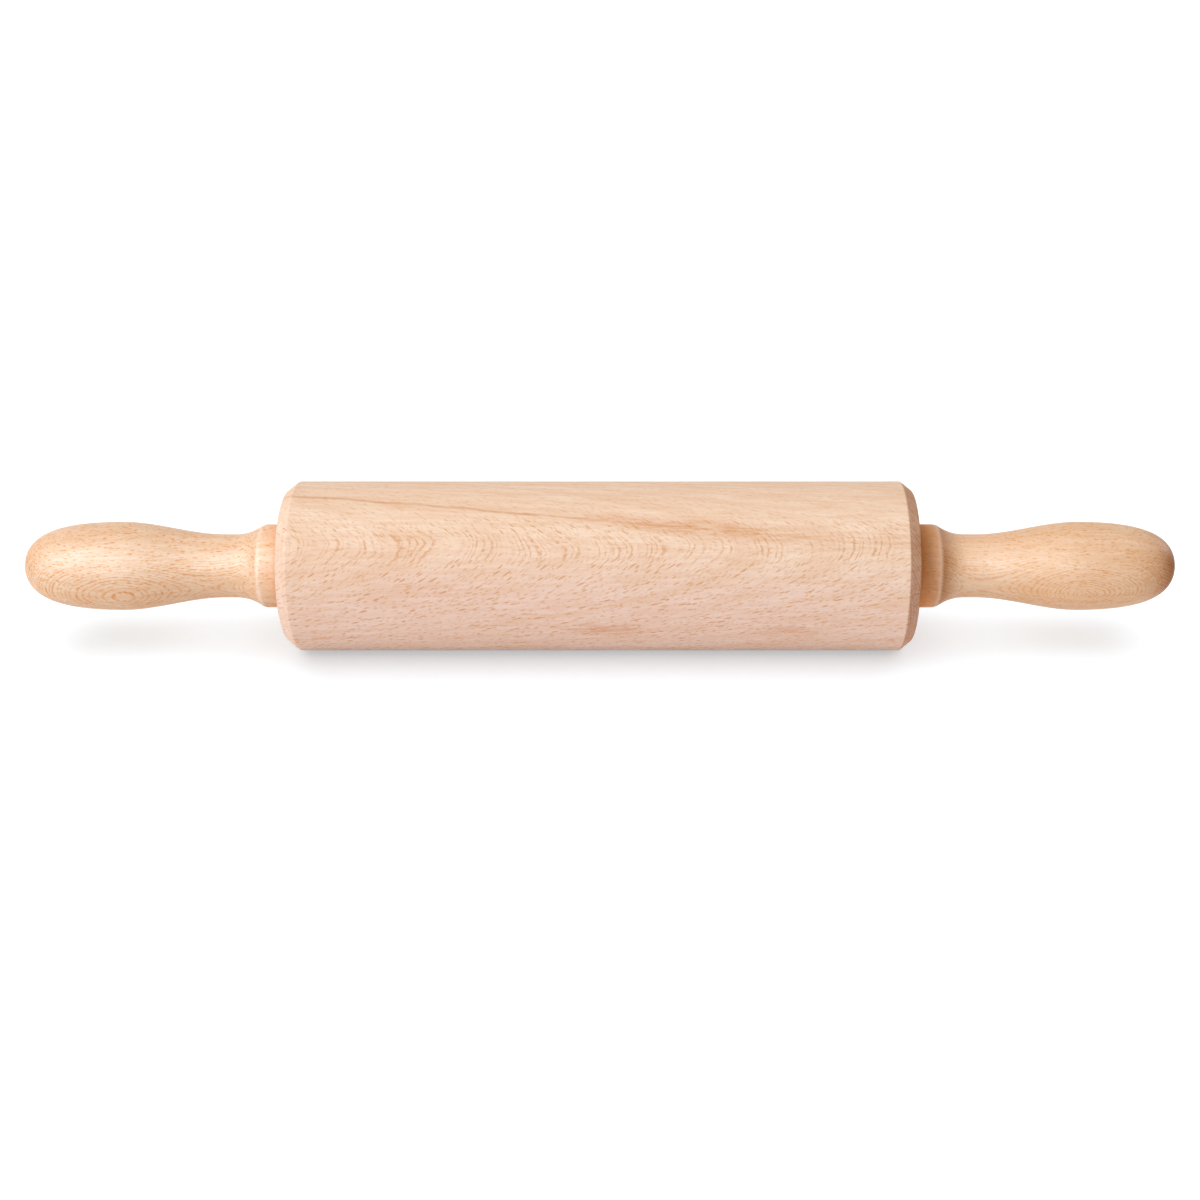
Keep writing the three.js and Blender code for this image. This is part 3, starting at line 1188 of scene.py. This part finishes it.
@dataclass
class InnerWorks:
    """The axle, washers and bearings inside, which keep their solids."""

    finishes: dict[str, Steel | Nylon] = field(
        default_factory=lambda: {
            # Bright drawn rod: grey, half polished, with fine lines along its length.
            "drawn_steel": Steel(
                "bright drawn steel", "#B9BBBD", "#8F9193", 0.34, 0.25, SteelSurface.DRAWN
            ),
            # Hardened bearing steel, ground and lapped: nearly a mirror, faint circles.
            "bearing_steel": Steel(
                "ground bearing steel", "#CBCDD0", "#B0B3B7", 0.16, 0.12, SteelSurface.GROUND
            ),
            # Cold-rolled sheet from the press: grey and even, slightly mottled.
            "sheet_steel": Steel(
                "stamped sheet steel", "#BFC1C3", "#9EA0A2", 0.3, 0.4, SteelSurface.STAMPED
            ),
            # Unfilled nylon from the mould: milky cream with a soft shine.
            "nylon": Nylon("moulded natural nylon", "#EFE9DB", "#DDD4C0", 0.48, 1.6),
        }
    )

    def dress(self, frame: dict) -> list[str]:
        """Give each solid that still shows the finish of its material slot.


        Returns:
            The names of the dressed solids.
        """
        made = {slot: finish.material() for slot, finish in self.finishes.items()}
        dressed = []
        for row in frame["record"]["subparts"]:
            if row["material_slot"] in made:
                solid = frame["nodes"][row["node"]]
                solid.data.materials.clear()
                solid.data.materials.append(made[row["material_slot"]])
                dressed.append(row["node"])
        return dressed


class Lit(Enum):
    """What a lamp lights: all but the paper, or the paper alone."""

    ALL_BUT = "EXCLUDE"
    ONLY = "INCLUDE"


@dataclass(frozen=True)
class Lamp:
    """A soft square lamp: where it hangs as seen from the pin, how far, how large, how strong.

    One that doesn't brighten shows only as a sheen, in its tone, on what is glossy.
    """

    name: str
    towards: tuple[float, float, float]
    distance: float
    size: float
    watts: float
    lit: Lit
    brightens: bool = True
    tone: tuple[float, float, float] = (1.0, 1.0, 1.0)

    def hang(self, paper: bpy.types.Object) -> None:
        """Hang the lamp, facing the pin.

        Args:
            paper: The sheet that the lamp lights alone or leaves out.
        """
        lamp = bpy.data.lights.new(self.name, "AREA")
        lamp.shape = "SQUARE"
        lamp.size = self.size * MM
        lamp.energy = self.watts
        lamp.color = self.tone
        hung = bpy.data.objects.new(self.name, lamp)
        hung.visible_diffuse = self.brightens
        bpy.context.scene.collection.objects.link(hung)
        away = Vector(self.towards).normalized()
        hung.location = away * self.distance * MM
        hung.rotation_euler = away.to_track_quat("Z", "Y").to_euler()
        chosen = bpy.data.collections.new(f"{self.name}_paper")
        chosen.objects.link(paper)
        chosen.collection_objects[0].light_linking.link_state = self.lit.value
        hung.light_linking.receiver_collection = chosen


@dataclass
class Studio:
    """A sheet of white paper, soft light from the left, and the photographed view."""

    floor_level: float = -30.0
    floor_size: float = 12000.0
    paper_white: str = "#F9F9F9"
    paper_shade: str = "#BBC3C9"
    paper_glow: float = 0.59
    # The glow's level and reach for the painted contact shadow where the pin touches the paper.
    contact_shadow_glow: float = 0.42
    paper_fade: Point = (1200.0, 3000.0)
    contact_shadow_reach: float = 3.0
    sky_level: float = 0.12
    lamps: tuple[Lamp, ...] = (
        Lamp("key_lamp", (-0.578, -0.485, 0.656), 3500.0, 2000.0, 98.5, Lit.ALL_BUT),
        Lamp("top_lamp", (0.0, 0.15, 0.99), 2000.0, 2000.0, 22.5, Lit.ALL_BUT),
        Lamp(
            "sheen_lamp",
            (-0.45, -0.71, 0.54),
            3000.0,
            4000.0,
            437.0,
            Lit.ALL_BUT,
            brightens=False,
            tone=(0.7, 1.0, 1.14),
        ),
        Lamp("glint_lamp", (0.819, 0.551, 0.168), 3000.0, 800.0, 28.0, Lit.ALL_BUT, False),
        Lamp("paper_lamp", (0.0, 0.0, 1.0), 2000.0, 3400.0, 86.0, Lit.ONLY),
    )
    camera_distance: float = 589.0
    camera_height: float = 30.5
    camera_right: float = 16.66
    camera_aim: float = -12.17
    camera_lens: float = 49.645
    camera_shift: float = -0.0392

    def lay_paper(self) -> bpy.types.Object:
        """Lay the matt white paper that the pin lies on.

        Returns:
            The paper.
        """
        shape = bmesh.new()
        bmesh.ops.create_grid(shape, x_segments=1, y_segments=1, size=0.5 * self.floor_size * MM)
        bmesh.ops.translate(shape, verts=shape.verts, vec=(0.0, 0.0, self.floor_level * MM))
        mesh = bpy.data.meshes.new("paper")
        shape.to_mesh(mesh)
        shape.free()
        paper = bpy.data.objects.new("paper", mesh)
        bpy.context.scene.collection.objects.link(paper)
        material = empty_material("matt white paper")
        nodes = Nodes(material.node_tree)
        seen = self.seen(nodes)
        shades = {MIX_A: linear(self.paper_white), MIX_B: linear(self.paper_shade)}
        tones = {MIX_FACTOR: seen, **shades}
        matt = nodes.add("BsdfDiffuse", (nodes.add("Mix", tones, **COLOUR_MIX),))
        # The glow dims where the pin touches the paper: a painted contact shadow.
        contact_openness = nodes.add("AmbientOcclusion", {"Distance": self.contact_shadow_reach * MM}, "AO")
        spot = nodes.add("TexCoord", output="Object")
        away = nodes.add("VectorMath", (spot,), "Value", operation="LENGTH")
        near, far = self.paper_fade
        glow = nodes.fade(1.0, (away, near * MM, far * MM, self.paper_glow, 1.0))
        open_to_light = nodes.add("MapRange", (contact_openness, *RISE, self.contact_shadow_glow, glow))
        shine = nodes.add("Emission", {"Strength": nodes.product(seen, open_to_light)})
        lit = nodes.add("AddShader", (matt, shine))
        nodes.add("OutputMaterial", (lit,))
        paper.data.materials.append(material)
        return paper

    def seen(self, nodes: Nodes) -> Socket:
        """Tell rays that show a surface to the eye from those that only carry its light.

        Args:
            nodes: The node tree that asks.

        Returns:
            One for the camera's rays and those seen in gloss or through glass, else zero.
        """
        rays = nodes.add("LightPath").node.outputs
        shows = rays["Is Camera Ray"]
        for kind in ("Is Glossy Ray", "Is Transmission Ray"):
            shows = nodes.add("Math", (shows, rays[kind]), operation="MAXIMUM")
        return shows

    def light_sky(self) -> None:
        """Fill the room with a little even light, and show it white."""
        world = bpy.data.worlds.new("studio")
        bpy.context.scene.world = world
        world.use_nodes = True
        world.node_tree.nodes.clear()
        nodes = Nodes(world.node_tree)
        level = nodes.add("MapRange", {"Value": self.seen(nodes), "To Min": self.sky_level})
        room = nodes.add("Background", {"Color": WHITE, "Strength": level})
        nodes.add("OutputWorld", (room,))

    def set_camera(self) -> None:
        """Stand the camera where the photograph was taken, level with the barrel's length."""
        lens = bpy.data.cameras.new("camera")
        lens.lens = self.camera_lens
        lens.shift_x = self.camera_shift
        lens.clip_start, lens.clip_end = CLIP_NEAR, CLIP_FAR
        camera = bpy.data.objects.new("camera", lens)
        bpy.context.scene.collection.objects.link(camera)
        height = math.radians(self.camera_height)
        back = Vector((0.0, -math.cos(height), math.sin(height)))
        up = Vector((0.0, math.sin(height), math.cos(height)))
        middle = Vector((self.camera_right, 0.0, 0.0))
        place = middle + back * self.camera_distance
        aim = middle + up * self.camera_aim
        camera.location = place * MM
        camera.rotation_euler = (aim - place).to_track_quat("-Z", "Y").to_euler()
        bpy.context.scene.camera = camera

    def build(self) -> None:
        """Set up the floor, the light and the camera."""
        self.set_camera()
        self.light_sky()
        paper = self.lay_paper()
        for lamp in self.lamps:
            lamp.hang(paper)
        bpy.context.scene.view_settings.view_transform = "Standard"


def main() -> None:
    """Build the rolling pin around its frame, piece by piece."""
    logging.basicConfig(level=logging.INFO, format="%(message)s")
    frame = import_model()
    Studio().build()
    turned = [Barrel(), *[Handle(node=f"{side.word}_handle", side=side) for side in Side]]
    for maker in turned:
        piece = maker.build()
        maker.dress(piece)
        LOG.info("%s: %d faces", piece.name, len(piece.data.polygons))
    for node in InnerWorks().dress(frame):
        LOG.info("%s keeps its solid", node)


if __name__ == "__main__":
    main()
